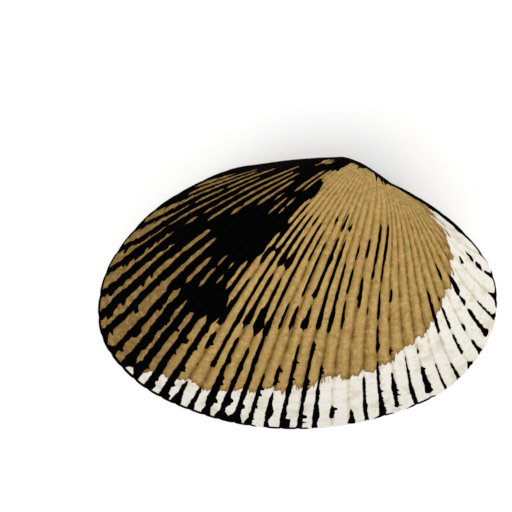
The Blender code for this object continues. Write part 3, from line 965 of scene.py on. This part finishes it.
def painted_shade_mask(n, at):
    """1 where the painted shade lies, and on the painted shade along the margin and the umbo's back. Its
    edges are ragged, with nubs on the anterior side.
    """
    painted_shade = n.value("painted_shade")
    slanted = n.minus(at["beside"], n.value("slant"))
    right = n.math('GREATER_THAN', slanted, 0.0)
    by_groove, by_side = SIDE_STEPS
    side = n.plus(n.times(at["nearest"], by_groove), n.times(right, by_side))
    late = n.ramp(at["stage"], *LATE)
    rough = line_noise(n, at, side, ROUGH_PACE)
    swing = n.swing(rough, n.ramp(late, 0.0, 1.0, *ROUGH_SWING))
    swing = n.times(swing, n.ramp(painted_shade, 0.02, 0.3, 0.3, 1.0, "LINEAR"))
    width = n.plus(n.plus(painted_shade, swing), nubs(n, at, painted_shade, side, right, late))
    shown = n.ramp(n.minus(width, n.math('ABSOLUTE', slanted)), *SHARP)
    shown = n.times(shown, n.ramp(painted_shade, 0.015, 0.05))
    edge = n.ramp(n.plus(n.value("edge"), n.swing(rough, LOOSE_EDGE)), -0.02, 0.04)
    return n.math('MAXIMUM', shown, edge)


def blotched(n, colour, own, blotches):
    for size, start, strength, tint, offset in blotches:
        shift = (offset, -offset, offset)
        place = n.put("ShaderNodeVectorMath", {0: own, 1: shift}, operation='ADD').outputs[0]
        cloud = n.noise(place, 1.0 / MM / size, 3.0, 0.6, 0.3)
        colour = n.mix(n.times(n.ramp(cloud, start, start + BLOTCH_FADE), strength), colour, tint)
    return colour


def groove_lines(n, at):
    """A brown line of uneven width that wanders along each groove, and the soft painted shade beside it."""
    pace, reach = WANDER
    wander = line_noise(n, at, at["nearest"], pace)
    aside = n.math('ABSOLUTE', n.plus(at["beside"], n.swing(wander, reach)))
    worn = line_noise(n, at, at["nearest"], WEAR_PACE, 3.0, 3.0, 0.65)
    grown = n.times(n.ramp(at["stage"], *GROOVE_GROWN), n.value("ribbed"))
    width = n.ramp(worn, 0.3, 0.7, *LINE_WIDTHS, "LINEAR")
    line = n.minus(1.0, n.ramp(aside, 0.0, width))
    line = n.times(line, n.ramp(worn, 0.34, 0.60, 0.25, 1.0))
    shade = n.minus(1.0, n.ramp(aside, *SHADE_REACH))
    shade = n.times(shade, n.ramp(worn, 0.28, 0.66, 0.25, 0.95))
    return n.times(line, grown), n.times(shade, grown)


def tan_colour(n, at, own, line, shade):
    """Tan ribs: streaks along the growth, faint bands across it, blotches, brown grooves with painted shade
    beside them, a painted highlight towards each crown, and a darker painted shade brown on the flank.
    """
    colour = n.mix(n.ramp(grown_noise(n, at, STREAKS), 0.32, 0.62), TAN_DARK, TAN)
    bands = n.ramp(grown_noise(n, at, BANDS), 0.50, 0.70)
    colour = n.mix(n.times(bands, 0.45), colour, PALE_TAN_AND_HIGHLIGHT)
    # painted highlight: each rib paler towards its crown
    colour = n.mix(n.times(n.ramp(at["aside"], *CROWN_HIGHLIGHT), 0.40), colour, PALE_TAN_AND_HIGHLIGHT)
    colour = blotched(n, colour, own, TAN_BLOTCHES)
    # painted shade beside each groove
    colour = n.mix(n.times(shade, 0.75), colour, PAINTED_GROOVE_SHADE)
    # painted shade: the posterior flank, turned from the light, is darker brown, with blotches of its own
    flank = blotched(n, FLANK_SHADE_BROWN, own, FLANK_BLOTCHES)
    colour = n.mix(n.ramp(at["count"], *FLANK_TONE, 0.80, 0.0), colour, flank)
    return n.mix(n.times(line, 0.70), colour, GROOVE_BROWN)


def chalk_colour(n, own, line):
    """The bleached shell along the margin: chalky, stained in places, with faint grooves."""
    return n.mix(n.times(line, 0.65), blotched(n, CHALK, own, CHALK_BLOTCHES), CHALK_LINE)


def outside_colour(n, at, own):
    """Tan as far as the bleached zone, which starts with a ragged brown fringe."""
    line, shade = groove_lines(n, at)
    pace, scale, reach = TORN
    torn = n.noise(n.vector(at["count"], n.times(at["stage"], pace)), scale, 4.0, 0.65)
    out = n.plus(n.value("bleach"), n.swing(torn, reach))
    colour = tan_colour(n, at, own, line, shade)
    colour = n.mix(n.times(n.ramp(out, -0.75, -0.10), 0.6), colour, FRINGE)
    return n.mix(n.ramp(out, -0.08, 0.12), colour, chalk_colour(n, own, line))


def inside_colour(n, at, own):
    """Pale and clouded, warmer in the depth, with growth stains, faint rays and the scars."""
    cloud = n.noise(own, 60.0, 3.0, 0.5)
    colour = n.mix(n.ramp(cloud, 0.35, 0.7), INSIDE_PALE, INSIDE_WARM)
    rays = n.ramp(grown_noise(n, at, RAYS), 0.48, 0.66)
    colour = n.mix(n.times(rays, 0.35), colour, INSIDE_WARM)
    rings = n.ramp(grown_noise(n, at, STAIN_RINGS), 0.52, 0.66)
    colour = n.mix(n.times(rings, 0.30), colour, INSIDE_STAIN)
    colour = blotched(n, colour, own, INSIDE_BLOTCHES)
    deep = n.ramp(at["stage"], 1.55, MIDDLE_STAGE)
    colour = n.mix(n.times(deep, 0.35), colour, INSIDE_WARM)
    return n.mix(n.times(n.value("scar"), 0.75), colour, SCAR_TINT)


def surface_height(n, at, own, inside):
    """Height for the bump: growth striae, threads along the ribs and a fine grain."""
    growth = n.times(grown_noise(n, at, STRIAE), n.ramp(at["stage"], 0.1, 0.8, *STRIAE_HEIGHT))
    height = n.plus(growth, n.times(grown_noise(n, at, THREADS), THREAD_HEIGHT))
    height = n.plus(height, n.times(n.noise(own, 2600.0, 2.0, 0.6), GRAIN_HEIGHT))
    return n.times(height, n.minus(1.0, n.times(inside, INSIDE_EVENER)))


def shell_material():
    """Shell of one colour outside and another inside, with near-black painted shade on the outside, matt
    where that painted shade lies.
    """
    material, n, shader = new_material("clam_shell")
    at = shell_places(n)
    own = n.put("ShaderNodeTexCoord").outputs["Object"]
    inside = n.math('GREATER_THAN', at["stage"], INSIDE_FROM)
    painted_shade = n.times(painted_shade_mask(n, at), n.minus(1.0, inside))
    # painted shade: near black laid over the outside's colour
    outside = n.mix(painted_shade, outside_colour(n, at, own), PAINTED_SHADE_BLACK)
    n.feed(shader["Base Color"], n.mix(inside, outside, inside_colour(n, at, own)))
    satin = n.ramp(n.noise(own, 420.0, 3.0, 0.6), 0.3, 0.7, *SATIN, "LINEAR")
    satin = n.plus(satin, n.times(painted_shade, PAINTED_SHADE_ROUGHER))
    n.feed(shader["Roughness"], n.minus(satin, n.times(inside, INSIDE_SMOOTHER)))
    shader["Specular IOR Level"].default_value = SHELL_GLOSS
    height = surface_height(n, at, own, inside)
    bump = n.put("ShaderNodeBump", {"Strength": 1.0, "Distance": 1.0, "Height": height})
    n.feed(shader["Normal"], bump.outputs["Normal"])
    return material


# ---- studio
VIEW_WIDTH = 0.0770
VIEW_CENTRE = (-0.00624, 0.00556)
CAMERA_HEIGHT = 0.3
CLIP_START = 0.001
FLOOR_HALF = 1.5
SKY = 0.56
LAMPS = (  # strength, angular size, bearing from +X, elevation
    (1.35, 22.0, 48.0, 62.0),
    (0.60, 40.0, 222.0, 40.0),
)


def add_object(name, data):
    item = bpy.data.objects.new(name, data)
    bpy.context.scene.collection.objects.link(item)
    return item


def seen_directly(n):
    """1 for the rays that show a background: from the camera, in a gloss or through glass."""
    path = n.put("ShaderNodeLightPath").outputs
    shown = n.plus(path["Is Camera Ray"], path["Is Glossy Ray"], clamp=True)
    return n.plus(shown, path["Is Transmission Ray"], clamp=True)


def add_floor():
    """A matt floor, white where it is seen, that throws less light back."""
    mesh = bpy.data.meshes.new("floor")
    corners = [(x * FLOOR_HALF, y * FLOOR_HALF, 0) for x, y in ((-1, -1), (1, -1), (1, 1), (-1, 1))]
    mesh.from_pydata(corners, [], [(0, 1, 2, 3)])
    material, n, shader = new_material("studio_floor")
    n.feed(shader["Base Color"], n.mix(seen_directly(n), FLOOR_TONE, WHITE))
    shader["Roughness"].default_value = 1.0
    shader["Specular IOR Level"].default_value = 0.0
    mesh.materials.append(material)
    floor = add_object("floor", mesh)


def set_world():
    """A sky, white where it is seen, that lights the shell less."""
    world = bpy.data.worlds.new("studio")
    bpy.context.scene.world = world
    world.use_nodes = True
    n = Nodes(world.node_tree)
    sky = world.node_tree.nodes["Background"].inputs
    sky["Color"].default_value = WHITE
    n.feed(sky["Strength"], n.ramp(seen_directly(n), 0.0, 1.0, SKY, 1.0, "LINEAR"))


def add_lamps():
    """Two soft suns, each shining from its bearing and elevation."""
    for i, (strength, size, bearing, elevation) in enumerate(LAMPS):
        lamp = bpy.data.lights.new("lamp_%d" % i, 'SUN')
        lamp.energy = strength
        lamp.angle = math.radians(size)
        turn = math.radians(bearing)
        up = math.radians(elevation)
        level = math.cos(up)
        towards = Vector((math.cos(turn) * level, math.sin(turn) * level, math.sin(up)))
        holder = add_object("lamp_%d" % i, lamp)
        holder.rotation_mode = 'QUATERNION'
        holder.rotation_quaternion = towards.to_track_quat('Z', 'Y')


def add_camera():
    """A camera straight above the outside."""
    data = bpy.data.cameras.new("camera")
    data.type = 'ORTHO'
    data.ortho_scale = VIEW_WIDTH
    data.clip_start = CLIP_START
    camera = add_object("camera", data)
    camera.location = (*VIEW_CENTRE, CAMERA_HEIGHT)
    bpy.context.scene.camera = camera


def main():
    valve = add_object("clam_valve", build_mesh(*valve_surface()))
    valve.data.materials.append(shell_material())
    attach(valve, "root")
    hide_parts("valve")
    add_floor()
    set_world()
    add_lamps()
    add_camera()
    bpy.context.scene.view_settings.view_transform = 'Standard'


main()
